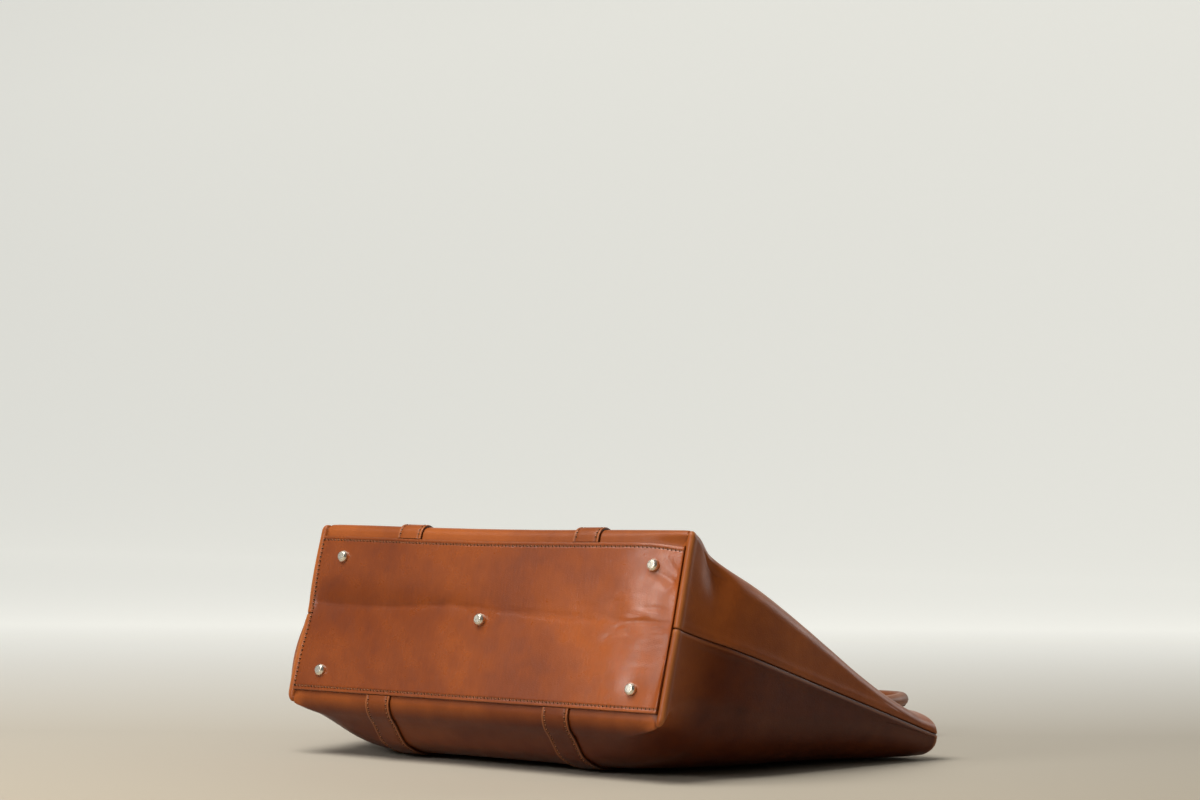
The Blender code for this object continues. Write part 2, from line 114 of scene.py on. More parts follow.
# Boxed seam at each end of the base
RIDGE_HEIGHT = 0.0019
RIDGE_HALF_WIDTH = 0.0028
GROOVE_DEPTH = 0.0012
GROOVE_HALF_WIDTH = 0.0009
DIMPLE_DEPTH = 0.0022

# Right end of the base: where it starts to give, how softly, how steeply, and its depth before that
SINK_START = 0.142
SINK_BLEND = 0.008
SINK_SLOPE = 0.125
SINK_REST = 0.00012


def section(name, along):
    """One column of SECTIONS at places along the body, with no overshoot between rows."""
    places = SECTIONS[:, 0]
    values = SECTIONS[:, SECTION_COLUMNS.index(name)]
    steps = np.diff(places)
    slopes = np.diff(values) / steps
    before, after = slopes[:-1], slopes[1:]
    same = before * after > 0
    inner = np.where(same, 2 * before * after / np.where(same, before + after, 1.0), 0.0)
    ends = np.concatenate([slopes[:1], inner, slopes[-1:]])
    i = np.clip(np.searchsorted(places, along, side="right") - 1, 0, len(steps) - 1)
    t = (along - places[i]) / steps[i]
    start = values[i] * (1 + 2 * t) * (1 - t) ** 2 + ends[i] * steps[i] * t * (1 - t) ** 2
    return start + values[i + 1] * t * t * (3 - 2 * t) + ends[i + 1] * steps[i] * t * t * (t - 1)


def ease(share):
    """Smooth step from 0 to 1."""
    share = np.clip(share, 0.0, 1.0)
    return share * share * (3 - 2 * share)


def bell(distance, half_width):
    """Soft bump of height 1."""
    return np.exp(-((distance / half_width) ** 2))


def edge_drop(distance, radius):
    """How far a rounded edge falls away at a distance from it."""
    near = np.clip(radius - distance, 0.0, radius)
    return radius - np.sqrt(radius * radius - near * near)


def ring(side, along, inset):
    """Half ring of one panel, pulled in by inset within its own plane."""
    taper = (1 - along) * BASE_DEPTH / 2 + along * MOUTH_HEIGHT / 2
    place = {"side": side, "along": along, "lean": BASE_LEAN * section("lean", along), "crown": 0.0 * along}
    place["y"] = (1 - along) * BASE_DEPTH / 2 * math.sin(BASE_LEAN) + along * BODY_REACH
    place["z"] = (1 - along) * BASE_MIDDLE[2] + along * MOUTH_HEIGHT / 2
    half_width = BASE_WIDTH / 2 + MOUTH_FLARE * section("spread", along)
    if side == BACK:
        half_height = taper * section("back_height", along)
        corner_high = half_height * section("back_corner", along)
        corner_wide = corner_high * (1 + along)
        place["crown"] = BASE_DEPTH / 2 * section("crown", along)
    else:
        half_height = (place["z"] - BASE_LIFT * section("front_lift", along)) / np.cos(place["lean"])
        corner_high = half_height * section("front_corner", along)
        corner_wide = BASE_WIDTH / 2 * section("front_reach", along)
    place["full_width"] = half_width
    place["half_width"] = half_width - inset
    place["half_height"] = half_height - inset
    place["corner_high"] = np.maximum(corner_high - inset, corner_high * LEAST_CORNER)
    place["corner_wide"] = np.maximum(corner_wide - inset, corner_wide * LEAST_CORNER)
    return place


def base_hollow(across, up):
    """Depth of the base's hollows at points measured from the base's middle."""
    depth = 0.0
    for middle_across, middle_up, half_width, half_height, share in BASE_HOLLOWS:
        wide = (across / BASE_WIDTH - middle_across) / half_width
        high = (up / BASE_DEPTH - middle_up) / half_height
        depth = depth + share * BASE_DEPTH * np.exp(-wide * wide - high * high)
    return depth


def base_sink(across, up):
    """Depth by which the base gives at its right end, where the board stops short."""
    start = across - SINK_START
    depth = SINK_SLOPE * (start + np.sqrt(start * start + SINK_BLEND ** 2)) / 2 - SINK_REST
    near_seam = ease((BASE_WIDTH / 2 - END_FOLD_RADIUS + 0.001 - across) / 0.004)
    near_edge = 1 - ease((np.abs(up) - BASE_DEPTH / 2 + BASE_EDGE_INSET) / 0.009)
    return depth * ease((across - 0.10) / 0.02) * ease((up + 0.066) / 0.055) * near_seam * near_edge


def crown_at(place, across):
    """How far the face's middle stands above its corners."""
    share = np.minimum(np.abs(across) / place["full_width"], 1.0)
    return place["crown"] * (1 - share * share) ** 2


def ring_point(place, across, height):
    """Points of a ring from their distance across and height above the side seam."""
    rise = (height + crown_at(place, across)) * place["side"]
    into = base_hollow(across, rise) * bell(place["along"], BASE_HOLLOW_FADE)
    y = place["y"] + np.sin(place["lean"]) * rise + INTO_BAG[1] * into
    z = place["z"] + np.cos(place["lean"]) * rise + INTO_BAG[2] * into
    return np.stack([across + 0.0 * y, y, z], axis=-1) + BAG_SHIFT


def height_at(place, across):
    """Height of a ring's face over a distance across."""
    flat = place["half_width"] - place["corner_wide"]
    beyond = np.clip((np.abs(across) - flat) / place["corner_wide"], 0.0, 1.0)
    return place["half_height"] - place["corner_high"] * (1 - np.sqrt(1 - beyond * beyond))


def along_column(place, run, share):
    """Distance across and height of a ring at its columns."""
    upright = place["half_height"] - place["corner_high"]
    turn = share * math.pi / 2
    flat = place["half_width"] - place["corner_wide"]
    round_corner = place["half_width"] - place["corner_wide"] * (1 - np.cos(turn))
    across = np.choose(run, [place["half_width"], round_corner, flat * (1 - share)])
    height = np.choose(run, [SEAM_GAP / 2 + (upright - SEAM_GAP / 2) * share,
                             upright + place["corner_high"] * np.sin(turn), place["half_height"]])
    return across, height


def profile_rows(turn_in, fold_radius, turn_rows, fold_rows, body_rows, rim_rows):
    """Place along the body and inset of each row: turned-in edge, fold, body and rim."""
    start = fold_radius / BODY_REACH
    rows = [(0.0, turn_in + (fold_radius - turn_in) * k / turn_rows) for k in range(turn_rows)]
    for k in range(fold_rows + 1):
        turn = k / fold_rows * math.pi / 2
        rows.append((start * (1 - math.cos(turn)), fold_radius * (1 - math.sin(turn))))
    rim = RIM_RADIUS / BODY_REACH
    for k in range(1, body_rows + 1):
        rows.append((start + (1 - rim - start) * (k / body_rows) ** 1.25, 0.0))
    for k in range(1, rim_rows + 1):
        rows.append((1 - rim * (1 - math.sin(k / rim_rows * math.pi / 2)), 0.0))
    along = np.array([row[0] + 0.0 * start for row in rows])
    inset = np.array([row[1] + 0.0 * start for row in rows])
    return along, inset


def grid_normals(points, outward):
    """Unit normals of a grid of points, turned to the side of outward."""
    normals = np.cross(np.gradient(points, axis=0), np.gradient(points, axis=1))
    normals /= np.maximum(np.linalg.norm(normals, axis=2, keepdims=True), 1e-12)
    middle = normals[points.shape[0] // 2, points.shape[1] // 2]
    return normals if middle @ np.array(outward) > 0 else -normals


def wander(points, size, seed):
    """Smooth random values between about -1 and 1 over a set of points."""
    shift = Vector((seed * 7.3, seed * 3.1, seed * 5.7))
    flat = points.reshape(-1, 3) / size
    values = [noise.noise(Vector(point) + shift) for point in flat.tolist()]
    return np.array(values).reshape(points.shape[:-1])


def dent_depth(side, hand, along, up):
    """Depth of the gusset dents over a panel."""
    depth = 0.0 * along
    for dent_side, dent_hand, place, height, length, tall, share in DENTS:
        if dent_side == side:
            shape = bell(along - place, length) * bell(up - height, tall)
            depth += np.where(hand == dent_hand, share * BASE_DEPTH * shape, 0.0)
    return depth * ease(along / DENT_START)


def panel_patina_and_shade(side, points, to_mouth):
    """How far the leather is darkened by patina and painted shade: hardly on the back, most on the front away
    from the base, where it is mostly painted shade.
    """
    if side == BACK:
        return 0.04 + 0.10 * wander(points, 0.090, 21)
    # On the front: painted shade, the leather darker away from the base where it faces down, with some patina
    from_base = BODY_REACH - to_mouth
    reach = 0.013 + 0.042 * ease((np.abs(points[..., 0]) - 0.172) / 0.014)
    return np.clip(ease((from_base + 0.006) / reach) * (0.98 + 0.14 * wander(points, 0.080, 22)), 0, 1)


def shell(name, outer, inner, attributes):
    """Closed wall between two grids, with point attributes given on the outer and inner grid."""
    rows, columns = outer.shape[:2]
    top = np.arange(rows * columns).reshape(rows, columns)
    low = top + rows * columns

    def quads(a):
        return np.stack([a[:-1, :-1], a[:-1, 1:], a[1:, 1:], a[1:, :-1]], axis=-1).reshape(-1, 4)

    loop = np.concatenate([top[0, :], top[1:, -1], top[-1, -2::-1], top[-2:0:-1, 0]])
    after = np.roll(loop, -1)
    rim = np.stack([after, loop, loop + rows * columns, after + rows * columns], axis=-1)
    faces = np.concatenate([quads(top), quads(low)[:, ::-1], rim])
    points = np.concatenate([outer.reshape(-1, 3), inner.reshape(-1, 3)])
    a, b, c, d = (points[faces[:, k]] - points.mean(axis=0) for k in range(4))
    volume = np.einsum("ij,ij->i", a, np.cross(b, c)).sum() + np.einsum("ij,ij->i", a, np.cross(c, d)).sum()
    if volume < 0:
        faces = faces[:, ::-1]
    mesh = bpy.data.meshes.new(name)
    mesh.from_pydata(points.tolist(), [], faces.tolist())
    for key, (over, under) in attributes.items():
        layer = mesh.attributes.new(key, "FLOAT", "POINT")
        values = np.concatenate([np.broadcast_to(over, (rows, columns)).ravel(),
                                 np.broadcast_to(under, (rows, columns)).ravel()])
        layer.data.foreach_set("value", values.astype(np.float32))
    return finish_piece(name, mesh)


def finish_piece(name, mesh):
    """Object of a finished mesh, smooth apart from its hard edges."""
    mesh.validate()
    mesh.shade_smooth()
    mesh.set_sharp_from_angle(angle=math.radians(50))
    piece = bpy.data.objects.new(name, mesh)
    bpy.context.scene.collection.objects.link(piece)
    return piece


def half_columns(upright, corner, face):
    """Run, share and CAD column number of each column of half a ring, seam first."""
    rows = [(UPRIGHT, (k / upright) ** 1.5) for k in range(upright)]
    rows += [(CORNER, k / corner) for k in range(corner)]
    rows += [(FACE, k / face) for k in range(face + 1)]
    return [(run, share, RUN_STARTS[run] + RUN_SPANS[run] * share) for run, share in rows]


def panel_grid(side):
    """Outer skin, inner skin, and wear, patina, painted shade and painted highlight of one panel."""
    half = half_columns(34, 26, 34)
    columns = [(RIGHT, *c) for c in half] + [(LEFT, *c) for c in reversed(half[:-1])]
    hand = np.array([c[0] for c in columns])
    run = np.array([c[1] for c in columns])
    share = np.array([c[2] for c in columns])
    number = np.array([c[3] for c in columns])
    to_face = ease((number - RUN_STARTS[CORNER]) / RUN_SPANS[CORNER])
    fold_radius = END_FOLD_RADIUS + (LONG_FOLD_RADIUS - END_FOLD_RADIUS) * to_face
    along, inset = profile_rows(TURN_IN, fold_radius, 4, 10, 118, 6)
    place = ring(side, along, inset)
    across, height = along_column(place, np.broadcast_to(run, along.shape), share)
    smooth = ring_point(place, hand * across, height)
    dents = dent_depth(side, hand, along, number / MIDDLE_COLUMN)
    smooth -= grid_normals(smooth, (0, 0, side)) * dents[..., None]
    normals = grid_normals(smooth, (0, 0, side))
    local = smooth - BAG_SHIFT - BASE_MIDDLE
    into = local @ INTO_BAG
    up = local @ UP_BASE
    to_mouth = (1 - along) * BODY_REACH

    # Turned side seam: both lips roll in, and the lower one stands a little proud
    near_seam = np.where(run == UPRIGHT, height, 1.0)
    lip = bell(near_seam - 0.0042, 0.0030) * ease(along / 0.05)
    depth = edge_drop(near_seam, LIP_RADIUS) - LIP_STANDS_PROUD[side] * lip

    # Boxed seam: a rounded ridge along the gusset, and a groove beside it that ends in a dimple
    arc = fold_radius * math.pi / 4
    on_fold = fold_radius * np.arcsin(np.clip(1 - inset / fold_radius, -1, 1)) - arc
    on_body = arc + along * BODY_REACH - fold_radius
    around = np.where(along > 0, np.where(inset > 0, on_fold, on_body), fold_radius - arc - inset)
    to_end = 1 - ease((number - 5.6) / 3.0)
    ridge = bell(around - 0.0004, RIDGE_HALF_WIDTH) * to_end
    beside = np.abs(smooth[..., 0]) - (BASE_WIDTH / 2 - END_FOLD_RADIUS - 0.0001)
    groove = bell(beside, GROOVE_HALF_WIDTH) * (1 - ease((into - 0.008) / 0.006))
    dimple_up = side * (BASE_DEPTH / 2 + 0.001)
    dimple = bell(beside - 0.0004, 0.0032) * bell(up - dimple_up, 0.0055) * bell(into - 0.011, 0.0050)
    depth = depth - RIDGE_HEIGHT * ridge + GROOVE_DEPTH * groove + DIMPLE_DEPTH * dimple

    # Soft unevenness of worn leather, none of it at the seams
    calm = ease(to_mouth / 0.02) * ease(near_seam / 0.02) * ease(along / 0.06)
    waves = 0.0008 * wander(smooth, 0.070, 1 + side) + 0.00012 * wander(smooth, 0.020, 4 + side)
    depth = depth + calm * waves
    depth = depth + edge_drop(to_mouth, RIM_RADIUS)
    outer = smooth - normals * depth[..., None]
    laid_over = base_sink(smooth[..., 0], up) * (1 - ease((into - 0.001) / 0.006))
    outer = outer + INTO_BAG * laid_over[..., None]

    inward = normals.copy()
    for j in (0, -1):
        lean = place["lean"][:, j]
        rise = np.stack([0.0 * lean, np.sin(lean), np.cos(lean)], axis=-1)
        flat = inward[:, j] - rise * np.einsum("ij,ij->i", inward[:, j], rise)[:, None]
        inward[:, j] = flat / np.linalg.norm(flat, axis=1, keepdims=True)
    hem = ease((HEM_WIDTH - to_mouth) / 0.0012)
    thick = LEATHER + HEM_THICKNESS * hem - 2 * edge_drop(to_mouth, RIM_RADIUS)
    inner = outer - inward * np.maximum(thick, 0.0004)[..., None]
    # Lighter on the side seam's front lip and on the boxed-seam ridge: painted highlight, with some wear; the
    # mouth's rim is lighter from wear
    seam_wear_and_highlight = 0.4 * bell(near_seam - 0.0024, 0.0010) * (0.8 if side == FRONT else 0.3)
    rim_wear = 0.6 * bell(to_mouth - 0.0010, 0.0020)
    wear_and_highlight = np.clip(0.60 * bell(around - 0.0008, 0.0014) * to_end + seam_wear_and_highlight + rim_wear, 0, 1)
    # Near-black in the grooves, along the side seam and in the dimple: painted shade, with some dirt
    grime_and_shade = np.clip(0.5 * groove + 0.75 * bell(near_seam, 0.0008) + 0.35 * dimple, 0, 1)
    # Patina, and painted shade on the front away from the base
    patina_and_shade = panel_patina_and_shade(side, smooth, to_mouth)
    return outer, inner, {"patina_and_shade": (patina_and_shade, 0.0), "wear_and_highlight": (wear_and_highlight, 0.3 * hem), "grime_and_shade": (grime_and_shade, 0.0),
                          "flesh": (0.0, 1 - hem)}


class Wire:
    """A shader output that arithmetic can be written with."""

    def __init__(self, tree, socket):
        self.tree = tree
        self.socket = socket

    def math(self, operation, left, right):
        node = self.tree.nodes.new("ShaderNodeMath")
        node.operation = operation
        for slot, part in zip(node.inputs, (left, right)):
            if isinstance(part, Wire):
                self.tree.links.new(part.socket, slot)
            else:
                slot.default_value = part
        return Wire(self.tree, node.outputs[0])

    def __add__(self, other):
        return self.math("ADD", self, other)

    def __radd__(self, other):
        return self.math("ADD", other, self)

    def __sub__(self, other):
        return self.math("SUBTRACT", self, other)

    def __rsub__(self, other):
        return self.math("SUBTRACT", other, self)

    def __mul__(self, other):
        return self.math("MULTIPLY", self, other)

    def __rmul__(self, other):
        return self.math("MULTIPLY", other, self)


class Finish:
    """A Principled material that its nodes are added to."""

    def __init__(self, name, **constants):
        self.material = bpy.data.materials.new(name)
        self.material.use_nodes = True
        self.tree = self.material.node_tree
        self.shader = self.tree.nodes["Principled BSDF"]
        self.set(self.shader, constants)

    def set(self, node, sockets):
        """Fill sockets, named with spaces as underscores or numbered, with values or wires."""
        for key, part in sockets.items():
            slot = node.inputs[key.replace("_", " ") if isinstance(key, str) else key]
            if isinstance(part, Wire):
                self.tree.links.new(part.socket, slot)
            else:
                slot.default_value = part

    def add(self, kind, settings=None, sockets=None, output=0):
        """Add a node with its settings and sockets, and return one of its outputs."""
        node = self.tree.nodes.new("ShaderNode" + kind)
        for key, value in (settings or {}).items():
            if key == "stops":
                for element, (position, color) in zip(node.color_ramp.elements, value):
                    element.position = position
                    element.color = color
            else:
                setattr(node, key, value)
        self.set(node, sockets or {})
        return Wire(self.tree, node.outputs[output])

    def mix(self, share, first, second):
        """Colour between two others."""
        return self.add("Mix", {"data_type": "RGBA"}, {0: share, 6: first, 7: second}, 2)

    def place(self, scale, turn=(0.0, 0.0, 0.0)):
        """Object coordinates stretched by a scale."""
        here = self.add("TexCoord", output=3)
        return self.add("Mapping", None, {"Vector": here, "Rotation": turn, "Scale": scale})

    def speckle(self, scale, detail=3.0, roughness=0.5, stretch=(1.0, 1.0, 1.0), turn=(0.0, 0.0, 0.0)):
        """Noise around one half."""
        return self.add("TexNoise", None, {"Vector": self.place(stretch, turn), "Scale": scale,
                                           "Detail": detail, "Roughness": roughness})

    def attribute(self, name):
        """A float that the mesh carries."""
        return self.add("Attribute", {"attribute_name": name}, output=2)

    def spread(self, wire, low, high, start=0.0, end=1.0):
        """A wire's range low to high, mapped to start to end and clamped."""
        return self.add("MapRange", None, {0: wire, 1: low, 2: high, 3: start, 4: end})


def shaded(color, shares):
    """A colour with each channel taken down to a share of itself."""
    return (*(channel * share for channel, share in zip(color, shares)), 1.0)


def leather(name, lit, deep, wear_and_highlight, roughness, streak, shine):
    """Smooth full-grain leather: fine pores, faint streaks, darker clouds, patina and painted shade, wear
    with painted highlight on ridges, and near-black painted shade in grooves.
    """
    finish = Finish(name, Specular_IOR_Level=shine)
    clouds = finish.spread(finish.speckle(11.0, 4.0, 0.55), 0.35, 0.68)
    mottle = finish.spread(finish.speckle(70.0, 4.0, 0.50), 0.25, 0.77)
    streaks = finish.speckle(620.0, 2.0, 0.5, (1.0, 0.22, 0.16))
    shade = clouds * 0.55 + mottle * 0.30 + streaks * streak
    body = finish.mix(finish.spread(shade, 0.18, 0.95), (*lit, 1.0), (*deep, 1.0))
    # A darker copy of the colours, mixed in for patina and painted shade
    patina_and_shade_color = finish.mix(mottle, shaded(lit, (0.27, 0.18, 0.09)), shaded(deep, (0.29, 0.19, 0.09)))
    body = finish.mix(finish.spread(finish.attribute("patina_and_shade") + 0.25 * clouds, 0.10, 1.15), body, patina_and_shade_color)
    # Lighter colour for wear on edges and rims, and painted highlight on ridges and seam lips
    wear_and_highlight_share = finish.attribute("wear_and_highlight")
    body = finish.mix(finish.spread(wear_and_highlight_share * (0.6 + 0.4 * mottle), 0.05, 0.9, 0.0, 0.85), body, (*wear_and_highlight, 1.0))
    # Near-black for painted shade in grooves, seams and under the straps, with some dirt
    darkening = finish.spread(finish.attribute("grime_and_shade"), 0.1, 1.0, 0.0, 0.92)
    body = finish.mix(darkening, body, (0.018, 0.006, 0.003, 1.0))
    flesh = finish.attribute("flesh")
    nap = finish.spread(finish.speckle(340.0, 6.0, 0.75), 0.3, 0.7)
    suede = finish.mix(nap, (0.30, 0.155, 0.078, 1.0), (0.19, 0.090, 0.042, 1.0))
    color = finish.mix(flesh, body, suede)
    smoothness = finish.spread(mottle * 0.6 + clouds * 0.4, 0.1, 0.9, roughness - 0.06, roughness + 0.08)
    rough = finish.add("Mix", {"data_type": "FLOAT"}, {0: flesh, 2: smoothness, 3: 0.93})
    pores = finish.add("TexVoronoi", {"feature": "F1"},
                       {"Vector": finish.place((1.0, 1.0, 1.0)), "Scale": 1050.0})
    fine = finish.speckle(1900.0, 3.0, 0.6)
    relief = pores * 0.45 + fine * 0.35 + streaks * 0.50 + nap * flesh * 1.6
    bump = finish.add("Bump", None, {"Strength": 0.55, "Distance": 0.00026, "Height": relief})
    finish.set(finish.shader, {"Base_Color": color, "Roughness": rough, "Normal": bump})
    return finish.material


panel_leather = leather("panel_leather", (0.370, 0.096, 0.018), (0.235, 0.052, 0.008),
                        (0.55, 0.21, 0.065), 0.36, 0.22, 0.25)
panel_skins = {}
for side, name in ((BACK, "back_panel"), (FRONT, "front_panel")):
    outer, inner, attributes = panel_grid(side)
    piece = shell(name + "_leather", outer, inner, attributes)
    piece.data.materials.append(panel_leather)
    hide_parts(name)
    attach(piece, "root")
    rows, columns = outer.shape[:2]
    corners = np.arange(rows * columns).reshape(rows, columns)
    quads = np.stack([corners[:-1, :-1], corners[:-1, 1:], corners[1:, 1:], corners[1:, :-1]], axis=-1)
    panel_skins[side] = BVHTree.FromPolygons(outer.reshape(-1, 3).tolist(), quads.reshape(-1, 4).tolist())


# Base panel. One rectangle of the same leather, laid over the turned-in edges and top-stitched
# to them. Its ends run into the boxed seams. It is creased along its middle and wrinkled at its
# right end, where the board under it gives.
BASE_EDGE_RADIUS = 0.0011
BASE_STITCH_INSET = 0.0034
STUD_ACROSS = 0.158
STUD_UP = 0.048
STUDS = {
    "foot_front_left": (-STUD_ACROSS, -STUD_UP),
    "foot_front_right": (STUD_ACROSS, -STUD_UP),
    "foot_back_left": (-STUD_ACROSS, STUD_UP),
    "foot_back_right": (STUD_ACROSS, STUD_UP),
    "foot_centre": (0.0, 0.0),
}

# Creases, in millimetres: points across and up from the base's middle, then half width and depth at
# the first and the last point
MILLIMETRE = 0.001
CREASES = (
    (((-200.0, 10.0), (-100.0, 9.0), (-35.0, 11.0), (30.0, 7.5), (120.0, 4.0),
      (200.0, 3.0)), 17.0, 2.3, 1.2),
    (((-187.0, 9.5), (-155.0, 7.0), (-94.0, 7.6), (-52.0, 10.3), (-35.0, 11.3),
      (1.0, 6.8)), 7.0, 0.79, 0.61),
    (((-160.0, 7.2), (-94.0, 7.6), (-52.0, 10.3), (-35.0, 11.3), (-8.0, 8.0)), 1.2, 0.28, 0.52),
    (((-60.0, 12.2), (-35.0, 13.2), (-12.0, 10.8), (10.0, 8.2)), 1.0, 0.17, 0.35),
    (((1.0, 6.8), (33.0, 6.7), (69.0, 3.4), (102.0, 3.4), (122.0, 3.0)), 1.4, 0.42, 0.32),
    (((20.0, 10.5), (45.0, 9.0), (75.0, 7.2), (98.0, 6.8)), 1.1, 0.24, 0.24),
    (((128.0, -4.4), (136.0, 0.2), (148.0, 3.9), (165.0, 4.3), (187.0, 3.1)), 1.5, 0.52, 0.45),
    (((131.0, -7.5), (157.0, -2.2), (187.0, 1.2)), 1.3, 0.35, 0.42),
    (((122.0, -13.0), (128.0, -8.0), (140.0, -5.0)), 1.8, 0.6, 0.17),
    (((140.0, 9.0), (160.0, 8.5), (184.0, 9.5)), 1.2, 0.17, 0.35),
    (((150.0, 14.0), (168.0, 15.0), (186.0, 14.0)), 1.1, 0.24, 0.24),
    (((148.0, -33.0), (166.0, -30.0), (184.0, -31.0)), 2.2, 0.21, 0.32),
    (((152.0, 48.0), (160.0, 43.6), (181.0, 33.2)), 6.5, 0.96, 1.4),
    (((166.0, 56.0), (176.0, 46.0), (184.0, 40.0)), 2.2, 0.52, 0.52),
    (((-20.0, 9.0), (-8.0, 3.0), (-10.0, -6.0)), 1.6, 0.24, 0.17),
)


def crease_depth(across, up, points, half_width, first, last):
    """Depth of one crease, sharp along its line."""
    points = np.array(points) * MILLIMETRE
    half_width, first, last = (size * MILLIMETRE for size in (half_width, first, last))
    legs = np.linalg.norm(np.diff(points, axis=0), axis=1)
    total = legs.sum()
    best = np.full(across.shape, 1e9)
    share = np.zeros(across.shape)
    run = 0.0
    for start, end, leg in zip(points[:-1], points[1:], legs):
        way = (end - start) / leg
        t = np.clip((across - start[0]) * way[0] + (up - start[1]) * way[1], 0.0, leg)
        away = np.hypot(across - start[0] - way[0] * t, up - start[1] - way[1] * t)
        share = np.where(away < best, (run + t) / total, share)
        best = np.minimum(best, away)
        run += leg
    fade = ease(share / 0.15) * ease((1 - share) / 0.15)
    fade = fade * 0.85 + 0.15
    sharp = 0.6 * np.exp(-best / (0.55 * half_width)) + 0.4 * bell(best, half_width)
    return (first + (last - first) * share) * fade * sharp


def edge_spaced(length, fine, fine_steps, middle_steps):
    """Places from 0 to length, closer together within fine of both ends."""
    near = fine * (1 - np.cos(np.linspace(0.12, 1.0, fine_steps) * math.pi / 2))
    near = np.concatenate([[0.0], near])
    middle = np.linspace(fine, length - fine, middle_steps + 1)[1:-1]
    return np.concatenate([near, middle, (length - near)[::-1]])


def base_edges(across):
    """Lower and upper edge of the base panel, measured up from the base's middle."""
    low = -BASE_DEPTH / 2 + BASE_EDGE_INSET + 0.0 * across
    zero = 0.0 * across
    crown = crown_at(ring(BACK, zero, zero), across)
    high = BASE_DEPTH / 2 - BASE_EDGE_INSET + crown - 0.0022 * ease((across - 0.150) / 0.038)
    return low, high


def base_point(across, up, out):
    """Points over the base plane, out from it by out, with its hollows."""
    into = base_hollow(across, up) - out
    flat = BASE_MIDDLE + UP_BASE * up[..., None] + INTO_BAG * into[..., None] + BAG_SHIFT
    flat[..., 0] += across
    return flat


def base_relief(across, up):
    """Depth of the base panel's creases, wrinkles and dimples."""
    depth = 0.0 * across
    for points, half_width, first, last in CREASES:
        depth = depth + crease_depth(across, up, points, half_width, first, last)
    for stud_across, stud_up in STUDS.values():
        away = np.hypot(across - stud_across, up - stud_up)
        depth = depth + 0.0005 * bell(away, 0.0075)
    flat = np.stack([across, up, 0.0 * across], axis=-1)
    right_end = ease((across - 0.075) / 0.09)
    lines = flat * np.array([0.22, 1.0, 1.0])
    depth = depth + right_end * 0.00040 * wander(lines, 0.0036, 3) * bell(up - 0.006, 0.022)
    depth = depth + 0.00012 * wander(lines, 0.0042, 5) * bell(up - 0.008, 0.010)
    depth = depth + 0.00035 * wander(flat, 0.070, 8) + 0.00006 * wander(flat, 0.014, 9)
    depth = depth + right_end * 0.00060 * wander(flat, 0.018, 11)
    return depth


half_base = BASE_WIDTH / 2 - END_FOLD_RADIUS + 0.0004
across_line = edge_spaced(2 * half_base, 0.004, 6, 250) - half_base
up_line = edge_spaced(1.0, 0.055, 16, 72)
across_grid = np.broadcast_to(across_line, (len(up_line), len(across_line))).copy()
low_edge, high_edge = base_edges(across_grid)
up_grid = low_edge + (high_edge - low_edge) * up_line[:, None]
from_long = np.minimum(up_grid - low_edge, high_edge - up_grid)
from_end = half_base - np.abs(across_grid)
relief = base_relief(across_grid, up_grid) * ease(np.minimum(from_long, from_end) / 0.006)
under_relief = relief.copy()
relief += 0.00045 * bell(from_long - BASE_STITCH_INSET, 0.0009)
relief += edge_drop(from_long, BASE_EDGE_RADIUS) + edge_drop(from_end, 0.0009)
sink = base_sink(across_grid, up_grid)
base_outer = base_point(across_grid, up_grid, GAP + LEATHER - relief - sink)
base_inner = base_point(across_grid, up_grid, GAP - under_relief - sink)
# Darker towards the base's left end: painted shade, with random patches of patina
left_painted_shade = 0.40 * (1 - ease((across_grid + 0.165) / 0.26)) + 0.16 * (1 - ease((across_grid - 0.02) / 0.12))
patches = wander(np.stack([across_grid, up_grid, 0.0 * up_grid], axis=-1), 0.060, 23)
base_patina_and_shade = np.clip(left_painted_shade + 0.10 * patches, 0, 1)
base_worn = 0.22 * bell(from_long - 0.0008, 0.0008) + 0.15 * bell(from_end - 0.0012, 0.0012)
# Near-black along the edges, the end seams and the stitch rows: painted shade, with some dirt
base_grime_and_shade = 0.55 * bell(from_long - BASE_STITCH_INSET, 0.0008) + 0.5 * bell(from_end, 0.0005)
base_grime_and_shade += 0.7 * bell(from_long, 0.0004)
base_leather = leather("base_leather", (0.400, 0.095, 0.014), (0.245, 0.050, 0.006),
                       (0.55, 0.19, 0.055), 0.29, 0.45, 0.44)
base_piece = shell("base_panel_leather", base_outer, base_inner,
                   {"patina_and_shade": (base_patina_and_shade, 0.0), "wear_and_highlight": (base_worn, 0.0), "grime_and_shade": (base_grime_and_shade, 0.0),
                    "flesh": (0.0, 0.0)})
base_piece.data.materials.append(base_leather)
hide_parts("base_panel")
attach(base_piece, "root")


# Straps. Four flat strips of the same leather, 25.5 mm wide with rounded, burnished edges. Each
# starts under the base panel's stitched edge, runs up its face to the mouth and is stitched
# down near both edges.
STRAP_WIDTH = 0.0255
STRAP_THICKNESS = 0.0020
STRAP_SPACING = 0.181
STRAP_EDGE_RADIUS = 0.0009
STRAP_STITCH_INSET = 0.0030


